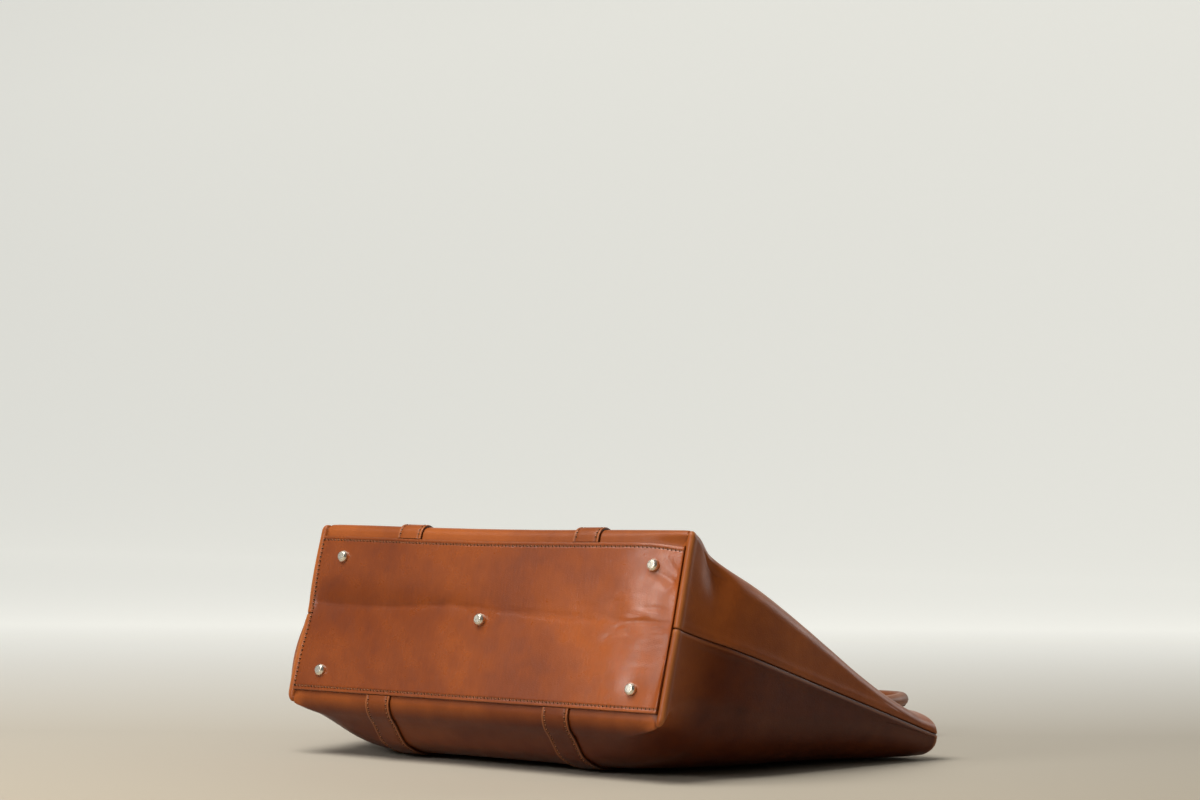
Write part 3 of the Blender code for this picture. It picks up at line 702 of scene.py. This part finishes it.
def strap_grid(side, hand):
    """Outer face, underside, distance from the nearer edge and normals of one strap."""
    offsets = edge_spaced(STRAP_WIDTH, 0.0042, 12, 8) - STRAP_WIDTH / 2
    fold_radius = LONG_FOLD_RADIUS + 0.0 * offsets
    along, inset = profile_rows(BASE_EDGE_INSET - GAP, fold_radius, 2, 10, 130, 3)
    across = np.broadcast_to(hand * STRAP_SPACING / 2 + offsets, along.shape)
    place = ring(side, along, inset)
    skin = ring_point(place, across, height_at(place, across))
    normals = grid_normals(skin, (0, 0, side))
    laid = skin.copy()
    for i in range(skin.shape[0]):
        for j in range(skin.shape[1]):
            away = Vector(normals[i, j])
            hit, _, _, _ = panel_skins[side].ray_cast(Vector(skin[i, j]) + away * 0.012, -away, 0.03)
            if hit is not None:
                laid[i, j] = hit
    laid[-4:] = skin[-4:] + (laid[-5] - skin[-5])
    from_edge = STRAP_WIDTH / 2 - np.abs(offsets) + 0.0 * along
    rise = STRAP_THICKNESS - edge_drop(from_edge, STRAP_EDGE_RADIUS)
    rise = rise - 0.00035 * bell(from_edge - STRAP_STITCH_INSET, 0.0008)
    outer = laid + normals * rise[..., None]
    inner = laid + normals * 0.0001
    # The straps take the panels' patina and painted shade
    patina_and_shade = panel_patina_and_shade(side, skin, (1 - along) * BODY_REACH)
    return outer, inner, from_edge, normals, offsets, patina_and_shade


strap_leather = leather("strap_leather", (0.350, 0.090, 0.017), (0.220, 0.049, 0.008),
                        (0.50, 0.18, 0.06), 0.36, 0.22, 0.25)
straps = {}
for side, side_name in ((FRONT, "front"), (BACK, "back")):
    for hand, hand_name in ((LEFT, "left"), (RIGHT, "right")):
        outer, inner, from_edge, normals, offsets, patina_and_shade = strap_grid(side, hand)
        wear_and_highlight = 0.5 * bell(from_edge - 0.0012, 0.0009)
        # Near-black on the strap's sides, its whole underside and its stitch rows: painted shade, with some
        # dirt
        grime_and_shade = 0.7 * bell(from_edge, 0.0004) + 0.45 * bell(from_edge - STRAP_STITCH_INSET, 0.0007)
        grime_and_shade = np.clip(grime_and_shade, 0, 1)
        name = f"strap_{side_name}_{hand_name}"
        piece = shell(name + "_leather", outer, inner,
                      {"patina_and_shade": (patina_and_shade, 0.0), "wear_and_highlight": (wear_and_highlight, 0.0), "grime_and_shade": (grime_and_shade, 1.0), "flesh": (0.0, 0.0)})
        piece.data.materials.append(strap_leather)
        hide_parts(name)
        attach(piece, "root")
        straps[side, hand] = (outer, inner, normals, offsets)


# Handles. Each strap pair runs on past the mouth as one piece, rolled round a cord core into
# a tube 12 mm across, with its edges butted and stitched on the side that faces the bag.
HANDLE_DROP = 0.190
HANDLE_THICKNESS = 0.012
HANDLE_FLAT_LENGTH = 0.012
HANDLE_ROLL_LENGTH = 0.030

# Points of half a loop: share of the drop, share of half the strap spacing, share of the mouth's height
HANDLE_LOOPS = {
    BACK: ((0.30, 1.18, 0.78), (0.60, 1.38, 0.82), (0.87, 1.32, 0.84), (0.99, 0.76, 0.80),
           (1.00, 0.00, 0.78)),
    FRONT: ((0.30, 1.06, 0.00), (0.60, 1.14, 0.00), (0.84, 1.04, 0.00), (0.96, 0.62, 0.00),
            (0.98, 0.00, 0.00)),
}
STRAP_SQUARENESS = 6
HANDLE_STATIONS = 150
HANDLE_SIDES = 44
CURVE_STEPS = 24


def curve_through(points, steps):
    """Evenly spaced points on a smooth curve through the given ones, and its length."""
    ends = [2 * points[0] - points[1]] + points + [2 * points[-1] - points[-2]]
    fine = []
    for a, b, c, d in zip(ends, ends[1:], ends[2:], ends[3:]):
        for t in np.arange(CURVE_STEPS) / CURVE_STEPS:
            fine.append(0.5 * (2 * b + (c - a) * t + (2 * a - 5 * b + 4 * c - d) * t ** 2
                               + (3 * b - a - 3 * c + d) * t ** 3))
    fine = np.array(fine + [points[-1]])
    run = np.concatenate([[0.0], np.cumsum(np.linalg.norm(np.diff(fine, axis=0), axis=1))])
    even = np.linspace(0.0, run[-1], steps + 1)
    return np.stack([np.interp(even, run, fine[:, k]) for k in range(3)], axis=-1), run[-1]


def unit(vector):
    return vector / np.linalg.norm(vector)


def handle_rings(side):
    """Rings of one handle, and its seam line with the way that it faces."""
    outer, inner, normals, offsets = straps[side, RIGHT]
    middle = len(offsets) // 2
    normal = normals[-1, middle]
    onward = np.cross((1.0, 0.0, 0.0), normal)
    onward = onward * (1 if onward[1] > 0 else -1)
    start = (outer[-1, middle] + inner[-1, middle]) / 2 - onward * 0.0004
    lying = HANDLE_THICKNESS / 2 - GAP - STRAP_THICKNESS + BAG_SHIFT[2]
    half = [start, start + onward * HANDLE_FLAT_LENGTH]
    for out, spread, rise in HANDLE_LOOPS[side]:
        height = max(rise * MOUTH_HEIGHT + BAG_SHIFT[2], lying)
        half.append(np.array([spread * STRAP_SPACING / 2, start[1] + out * HANDLE_DROP, height]))
    flip = np.array([-1.0, 1.0, 1.0])
    path, length = curve_through(half + [p * flip for p in reversed(half[:-1])], HANDLE_STATIONS)
    rings, seam, facing = [], [], []
    for i, centre in enumerate(path):
        distance = length * min(i, HANDLE_STATIONS - i) / HANDLE_STATIONS
        roll = float(ease((distance - HANDLE_FLAT_LENGTH / 2) / HANDLE_ROLL_LENGTH))
        way = unit(path[min(i + 1, HANDLE_STATIONS)] - path[max(i - 1, 0)])
        if i in (0, HANDLE_STATIONS):
            way = onward if i == 0 else -onward
        wide_way = unit(np.cross(way, (0.0, 0.0, 1.0)))
        thick_way = unit(np.cross(wide_way, way))
        half_wide = (STRAP_WIDTH + (HANDLE_THICKNESS - STRAP_WIDTH) * roll) / 2
        half_thick = (STRAP_THICKNESS + (HANDLE_THICKNESS - STRAP_THICKNESS) * roll) / 2
        centre = centre.copy()
        centre[2] = max(centre[2], half_thick + 0.0001)
        power = 2 / (STRAP_SQUARENESS + (2 - STRAP_SQUARENESS) * roll)
        turn = 2 * math.pi * (np.arange(HANDLE_SIDES) + 0.5) / HANDLE_SIDES - side * math.pi / 2
        wide = np.copysign(np.abs(np.cos(turn)) ** power, np.cos(turn)) * half_wide
        thick = np.copysign(np.abs(np.sin(turn)) ** power, np.sin(turn)) * half_thick
        off_seam = np.abs((turn + side * math.pi / 2 + math.pi) % (2 * math.pi) - math.pi)
        pinch = 1 - roll * (0.16 * bell(off_seam, 0.10) + 0.03 * bell(off_seam - 0.5, 0.12))
        rings.append(centre + np.outer(wide * pinch, wide_way) + np.outer(thick * pinch, thick_way))
        if roll > 0.55:
            down = -side * thick_way
            seam.append(centre + down * half_thick * 0.86 + wide_way * half_wide * 0.46)
            facing.append(unit(down * 0.86 + wide_way * 0.46))
    return np.array(rings), np.array(seam), np.array(facing)


def tube(name, rings, attributes):
    """Closed tube through rings with the same number of points."""
    stations, sides = rings.shape[:2]
    index = np.arange(stations * sides).reshape(stations, sides)
    after = np.roll(index, -1, axis=1)
    walls = np.stack([index[:-1], after[:-1], after[1:], index[1:]], axis=-1).reshape(-1, 4)
    faces = walls.tolist() + [index[0][::-1].tolist(), index[-1].tolist()]
    points = rings.reshape(-1, 3)
    middle = rings.mean(axis=1)[:-1].repeat(sides, axis=0)
    a, b, c = (points[walls[:, k]] for k in range(3))
    out = np.einsum("ij,ij->i", np.cross(b - a, c - a), a - middle).sum()
    if out < 0:
        faces = [face[::-1] for face in faces]
    mesh = bpy.data.meshes.new(name)
    mesh.from_pydata(points.tolist(), [], faces)
    for key, values in attributes.items():
        layer = mesh.attributes.new(key, "FLOAT", "POINT")
        layer.data.foreach_set("value", np.broadcast_to(values, (stations, sides)).astype(np.float32).ravel())
    return finish_piece(name, mesh)


handle_leather = leather("handle_leather", (0.340, 0.115, 0.040), (0.200, 0.058, 0.020),
                         (0.46, 0.19, 0.08), 0.42, 0.22, 0.30)
handle_seams = {}
for side, name in ((FRONT, "handle_front"), (BACK, "handle_back")):
    rings, seam, facing = handle_rings(side)
    turn = 2 * math.pi * (np.arange(HANDLE_SIDES) + 0.5) / HANDLE_SIDES
    off_seam = np.minimum(turn, 2 * math.pi - turn)
    # Near-black along the handle's seam: painted shade, with some dirt; lighter beside it from wear
    piece = tube(name + "_leather", rings, {"grime_and_shade": 0.9 * bell(off_seam, 0.11), "flesh": 0.0, "patina_and_shade": 0.2,
                                            "wear_and_highlight": 0.35 * bell(off_seam - 0.32, 0.12)})
    piece.data.materials.append(handle_leather)
    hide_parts(name)
    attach(piece, "root")
    handle_seams[side] = (seam, facing)


# Stitching. Waxed tan thread, about seven stitches to the inch, sunk a little into the leather
# between its needle holes: along both long edges and the left end of the base, both edges of
# each strap, and beside the seam of each handle.
STITCH_PITCH = 0.0036


def stitch_tree():
    """Geometry Nodes tree that lays one grain at each step along the lines it is given."""
    tree = bpy.data.node_groups.new("stitch_row", "GeometryNodeTree")
    sizes = {"Pitch": STITCH_PITCH, "Length": 0.0028, "Width": 0.0008, "Height": 0.0006, "Sink": 0.0,
             "Shift": 0.0, "Slant": 0.10, "Unevenness": 0.08}
    tree.interface.new_socket("Geometry", in_out="INPUT", socket_type="NodeSocketGeometry")
    for name, value in sizes.items():
        tree.interface.new_socket(name, in_out="INPUT", socket_type="NodeSocketFloat").default_value = value
    tree.interface.new_socket("Material", in_out="INPUT", socket_type="NodeSocketMaterial")
    tree.interface.new_socket("Geometry", in_out="OUTPUT", socket_type="NodeSocketGeometry")
    nodes, links = tree.nodes, tree.links

    def add(kind, settings=None, sockets=None, output=0):
        node = nodes.new(kind)
        for key, value in (settings or {}).items():
            setattr(node, key, value)
        for key, part in (sockets or {}).items():
            if isinstance(part, bpy.types.NodeSocket):
                links.new(part, node.inputs[key])
            else:
                node.inputs[key].default_value = part
        return node.outputs[output]

    given = nodes.new("NodeGroupInput").outputs
    line = add("GeometryNodeMeshToCurve", None, {0: given["Geometry"]})
    line = add("GeometryNodeResampleCurve", {"mode": "LENGTH"}, {"Curve": line, "Length": given["Pitch"]})
    facing = add("GeometryNodeInputNamedAttribute", {"data_type": "FLOAT_VECTOR"}, {"Name": "facing"})
    tangent = add("GeometryNodeInputTangent")
    sink = add("ShaderNodeVectorMath", {"operation": "SCALE"}, {0: facing, "Scale": given["Sink"]})
    shift = add("ShaderNodeVectorMath", {"operation": "SCALE"}, {0: tangent, "Scale": given["Shift"]})
    offset = add("ShaderNodeVectorMath", {"operation": "ADD"}, {0: sink, 1: shift})
    upright = add("FunctionNodeAlignRotationToVector", {"axis": "Z", "pivot_axis": "AUTO"},
                  {"Vector": facing})
    turned = add("FunctionNodeAlignRotationToVector", {"axis": "X", "pivot_axis": "Z"},
                 {"Rotation": upright, "Vector": tangent})
    jitter = add("FunctionNodeRandomValue", {"data_type": "FLOAT"}, {2: -1.0, 3: 1.0, "Seed": 5}, 1)
    uneven = add("ShaderNodeMath", {"operation": "MULTIPLY_ADD"},
                 {0: jitter, 1: given["Unevenness"], 2: given["Slant"]})
    slant = add("ShaderNodeCombineXYZ", None, {"Z": uneven})
    slant = add("FunctionNodeEulerToRotation", None, {0: slant})
    turned = add("FunctionNodeRotateRotation", {"rotation_space": "LOCAL"}, {0: turned, 1: slant})
    size = add("ShaderNodeCombineXYZ", None,
               {"X": given["Length"], "Y": given["Width"], "Z": given["Height"]})
    grain = add("GeometryNodeMeshUVSphere", None, {"Segments": 8, "Rings": 6, "Radius": 0.5})
    lie = add("GeometryNodeTransform", None, {"Geometry": grain, "Rotation": (0.0, math.pi / 2, 0.0)})
    laid = add("GeometryNodeInstanceOnPoints", None,
               {"Points": line, "Instance": lie, "Rotation": turned, "Scale": size})
    moved = add("GeometryNodeTranslateInstances", None,
                {"Instances": laid, "Translation": offset, "Local Space": False})
    real = add("GeometryNodeRealizeInstances", None, {0: moved})
    smooth = add("GeometryNodeSetShadeSmooth", None, {0: real})
    done = add("GeometryNodeSetMaterial", None, {"Geometry": smooth, "Material": given["Material"]})
    links.new(done, nodes.new("NodeGroupOutput").inputs[0])
    return tree


def lines_mesh(name, lines):
    """Mesh of separate open lines that carries the way each point faces."""
    points, edges, facing = [], [], []
    for line, ways in lines:
        first = len(points)
        points += line.tolist()
        facing += ways.ravel().tolist()
        edges += [(first + k, first + k + 1) for k in range(len(line) - 1)]
    mesh = bpy.data.meshes.new(name)
    mesh.from_pydata(points, edges, [])
    mesh.attributes.new("facing", "FLOAT_VECTOR", "POINT").data.foreach_set("vector", facing)
    return mesh


def stitch(name, lines, material, slot, **sizes):
    """Piece with a grain at every step along some lines."""
    guide = bpy.data.objects.new(name + "_lines", lines_mesh(name + "_lines", lines))
    bpy.context.scene.collection.objects.link(guide)
    row = guide.modifiers.new("row", "NODES")
    row.node_group = stitches
    sockets = {item.name: item.identifier for item in stitches.interface.items_tree
               if item.item_type == "SOCKET" and item.in_out == "INPUT"}
    for key, value in sizes.items():
        row[sockets[key]] = value
    row[sockets["Material"]] = material
    made = bpy.data.meshes.new_from_object(guide.evaluated_get(bpy.context.evaluated_depsgraph_get()))
    bpy.data.objects.remove(guide)
    made.name = name
    piece = bpy.data.objects.new(name, made)
    bpy.context.scene.collection.objects.link(piece)
    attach(piece, "root")
    return piece


def thread_finish():
    """Waxed linen-look thread, twisted and slightly soiled."""
    finish = Finish("waxed_thread", Specular_IOR_Level=0.35)
    twist = finish.add("TexWave", {"wave_type": "BANDS", "bands_direction": "DIAGONAL"},
                       {"Vector": finish.place((1.0, 1.0, 1.0)), "Scale": 700.0, "Distortion": 1.5})
    twist = Wire(finish.tree, twist.socket.node.outputs["Fac"])
    darkening = finish.spread(finish.speckle(70.0, 4.0, 0.6), 0.35, 0.70)
    color = finish.mix(twist * 0.45 + darkening * 0.35, (0.50, 0.215, 0.090, 1.0), (0.30, 0.105, 0.038, 1.0))
    bump = finish.add("Bump", None, {"Strength": 0.5, "Distance": 0.00015, "Height": twist})
    finish.set(finish.shader, {"Base_Color": color, "Roughness": 0.52 + 0.2 * darkening, "Normal": bump})
    return finish.material


def hole_finish():
    """Shadowed needle hole."""
    finish = Finish("needle_hole", Specular_IOR_Level=0.1)
    tone = finish.speckle(500.0, 2.0, 0.5)
    color = finish.mix(tone, (0.020, 0.007, 0.004, 1.0), (0.045, 0.016, 0.008, 1.0))
    finish.set(finish.shader, {"Base_Color": color, "Roughness": 0.8 + 0.15 * tone})
    return finish.material


stitches = stitch_tree()
thread = thread_finish()
needle_hole = hole_finish()
base_lines = []
for edge in (-1, 1):
    run = np.linspace(-half_base + 0.0030, half_base - 0.0030, 300)
    low, high = base_edges(run)
    up = low + BASE_STITCH_INSET if edge < 0 else high - BASE_STITCH_INSET
    depth = base_relief(run, up) * ease(BASE_STITCH_INSET / 0.006) + 0.00045 + base_sink(run, up)
    base_lines.append((base_point(run, up, GAP + LEATHER - depth), np.broadcast_to(-INTO_BAG, (len(run), 3))))
up = np.linspace(-BASE_DEPTH / 2 + BASE_EDGE_INSET + 0.004, BASE_DEPTH / 2 - BASE_EDGE_INSET - 0.004, 120)
run = 0.0 * up - half_base + 0.0016
end_row = base_point(run, up, GAP + LEATHER + 0.0001)
base_lines.append((end_row, np.broadcast_to(-INTO_BAG, (len(up), 3))))
strap_lines = []
for outer, inner, normals, offsets in straps.values():
    for place in (-1, 1):
        target = place * (STRAP_WIDTH / 2 - STRAP_STITCH_INSET)
        j = int(np.argmin(np.abs(offsets - target)))
        strap_lines.append((outer[2:-2, j], normals[2:-2, j]))
handle_lines = [handle_seams[side] for side in (FRONT, BACK)]
for name, lines, slot in (("base", base_lines, "base_leather"), ("strap", strap_lines, "strap_leather"),
                          ("handle", handle_lines, "handle_leather")):
    stitch(name + "_stitches", lines, thread, slot, Length=0.0024, Width=0.00110, Height=0.00095,
           Sink=0.00014)
    stitch(name + "_needle_holes", lines, needle_hole, slot, Length=0.0015, Width=0.0021, Height=0.0014,
           Shift=STITCH_PITCH / 2, Sink=0.0, Slant=0.0)


# Feet. Five turned brass studs plated in pale nickel, domed with a flat face, pronged through
# the base panel and the board behind it.
FOOT_SIDES = 48
FOOT_PROFILE = (
    (0.00490, -0.00150), (0.00490, 0.00040), (0.00488, 0.00090), (0.00478, 0.00130), (0.00460, 0.00170),
    (0.00436, 0.00210), (0.00404, 0.00250), (0.00364, 0.00290), (0.00346, 0.00306), (0.00336, 0.00322),
    (0.00326, 0.00334), (0.00310, 0.00340), (0.00280, 0.00341), (0.00140, 0.00343),
)


def metal_finish():
    """Pale nickel plate with fine turning marks and small scuffs."""
    finish = Finish("nickel", Metallic=1.0, Specular_IOR_Level=0.5)
    cloud = finish.speckle(160.0, 3.0, 0.5)
    scuff = finish.spread(finish.speckle(900.0, 4.0, 0.7, (1.0, 1.0, 0.3)), 0.45, 0.70)
    color = finish.mix(cloud, (0.90, 0.87, 0.79, 1.0), (0.80, 0.72, 0.56, 1.0))
    bump = finish.add("Bump", None, {"Strength": 0.05, "Distance": 0.00004, "Height": scuff})
    finish.set(finish.shader, {"Base_Color": color, "Roughness": 0.26 + 0.14 * scuff, "Normal": bump})
    return finish.material


nickel = metal_finish()
for name, (across, up) in STUDS.items():
    corner_low, corner_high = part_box(name)
    middle = np.array((corner_low + corner_high) / 2)
    seat = middle + INTO_BAG * (0.0017 + float(base_sink(across, up)))
    side_way = np.array([1.0, 0.0, 0.0])
    turn = 2 * math.pi * np.arange(FOOT_SIDES) / FOOT_SIDES
    circle = np.outer(np.cos(turn), side_way) + np.outer(np.sin(turn), UP_BASE)
    rings = np.array([seat - INTO_BAG * high + circle * wide for wide, high in FOOT_PROFILE])
    piece = tube(name + "_stud", rings, {})
    piece.data.materials.append(nickel)
    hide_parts(name)
    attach(piece, "root")


# Studio. A plain pale floor that curves up behind into a backdrop, which glows a little so that
# it stays bright where the lamps don't reach.
def sweep(name, half_width, near, far, bend, top):
    """Floor and backdrop as one curved sheet, facing up and to the front."""
    profile = [(near, 0.0), (far - bend, 0.0)]
    for a in np.linspace(0.1, math.pi / 2, 14):
        profile.append((far - bend + bend * math.sin(a), bend - bend * math.cos(a)))
    profile += [(far, top)]
    points = [(x, y, z) for y, z in profile for x in (-half_width, half_width)]
    faces = [(2 * k, 2 * k + 1, 2 * k + 3, 2 * k + 2) for k in range(len(profile) - 1)]
    mesh = bpy.data.meshes.new(name)
    mesh.from_pydata(points, [], faces)
    mesh.shade_smooth()
    thing = bpy.data.objects.new(name, mesh)
    bpy.context.scene.collection.objects.link(thing)
    return thing


studio = sweep("floor", 9.0, -7.0, 6.0, 2.0, 7.0)
paper = Finish("paper", Roughness=0.85, Specular_IOR_Level=0.1, Emission_Strength=1.0)
tone = paper.speckle(1.5, 2.0, 0.5)
here = paper.place((1.0, 1.0, 1.0))
east, north, height = (paper.add("SeparateXYZ", None, {0: here}, k) for k in range(3))
farther = 0.796 * north - 0.605 * east
left_part = paper.spread(east + 0.45 * north, 3.0, 1.6)
lit_part = paper.spread(left_part + paper.spread(height, 0.05, 0.5), 0.0, 1.0)
lit_share = paper.spread(farther, 0.10, 1.9) * lit_part
glow = paper.mix(lit_share, (0.0, 0.0, 0.0, 1.0), (0.60, 0.60, 0.565, 1.0))
near_floor = paper.mix(tone, (0.440, 0.385, 0.300, 1.0), (0.425, 0.370, 0.285, 1.0))
pale = paper.mix(paper.spread(farther, -0.6, 1.3), near_floor, (0.50, 0.49, 0.455, 1.0))
paper.set(paper.shader, {"Base_Color": pale, "Emission_Color": glow})
studio.data.materials.append(paper.material)


# Lights. Broad soft daylight from above, a small window in front that shines on the base's right
# end, a weak reflector at the left, a pale one behind the right gusset and a dim sky.
def panel_light(name, at, target, size, power, color):
    """Rectangular lamp that faces a target."""
    lamp = bpy.data.lights.new(name, "AREA")
    lamp.shape = "RECTANGLE"
    lamp.size, lamp.size_y = size
    lamp.energy = power
    lamp.color = color
    thing = bpy.data.objects.new(name, lamp)
    thing.location = at
    thing.rotation_euler = (Vector(target) - Vector(at)).to_track_quat("-Z", "Y").to_euler()
    bpy.context.scene.collection.objects.link(thing)
    return thing


panel_light("overhead", (-0.35, -1.05, 2.05), (0.0, -0.1, 0.05), (1.5, 1.5), 60.0, (1.0, 0.975, 0.94))
panel_light("window", (-0.50, -2.20, 0.95), (0.1, -0.25, 0.10), (0.40, 0.50), 14.0, (1.0, 0.995, 0.985))
panel_light("reflector", (-1.75, -2.05, 1.00), (0.0, -0.25, 0.10), (1.2, 0.9), 1.2, (1.0, 0.99, 0.97))
panel_light("side reflector", (1.08, 2.15, 0.79), (0.2, 0.0, 0.12), (1.0, 0.8), 8.0, (1.0, 1.0, 0.99))
sky = bpy.data.worlds.new("sky")
sky.use_nodes = True
sky.node_tree.nodes["Background"].inputs["Color"].default_value = (0.92, 0.94, 0.90, 1.0)
sky.node_tree.nodes["Background"].inputs["Strength"].default_value = 0.10
bpy.context.scene.world = sky
bpy.context.scene.view_settings.view_transform = "Standard"


# Camera, where the photograph was taken from
CAMERA_AT = Vector((1.31557, -1.80398, 0.21811))
CAMERA_TURN = (37.243, 1.976, 0.267)
CAMERA_LENS = 77.99
turn, tilt, roll = (math.radians(a) for a in CAMERA_TURN)
ahead = Vector((-math.sin(turn) * math.cos(tilt), math.cos(turn) * math.cos(tilt), math.sin(tilt)))
level = Vector((math.cos(turn), math.sin(turn), 0.0))
upright = level.cross(ahead)
right_way = level * math.cos(roll) + upright * math.sin(roll)
up_way = upright * math.cos(roll) - level * math.sin(roll)
camera = bpy.data.objects.new("camera", bpy.data.cameras.new("camera"))
camera.data.sensor_width = 36.0
camera.data.sensor_fit = "HORIZONTAL"
camera.data.lens = CAMERA_LENS
camera.matrix_world = Matrix((
    (right_way.x, up_way.x, -ahead.x, CAMERA_AT.x),
    (right_way.y, up_way.y, -ahead.y, CAMERA_AT.y),
    (right_way.z, up_way.z, -ahead.z, CAMERA_AT.z),
    (0.0, 0.0, 0.0, 1.0),
))
bpy.context.scene.collection.objects.link(camera)
bpy.context.scene.camera = camera

bpy.context.view_layer.update()
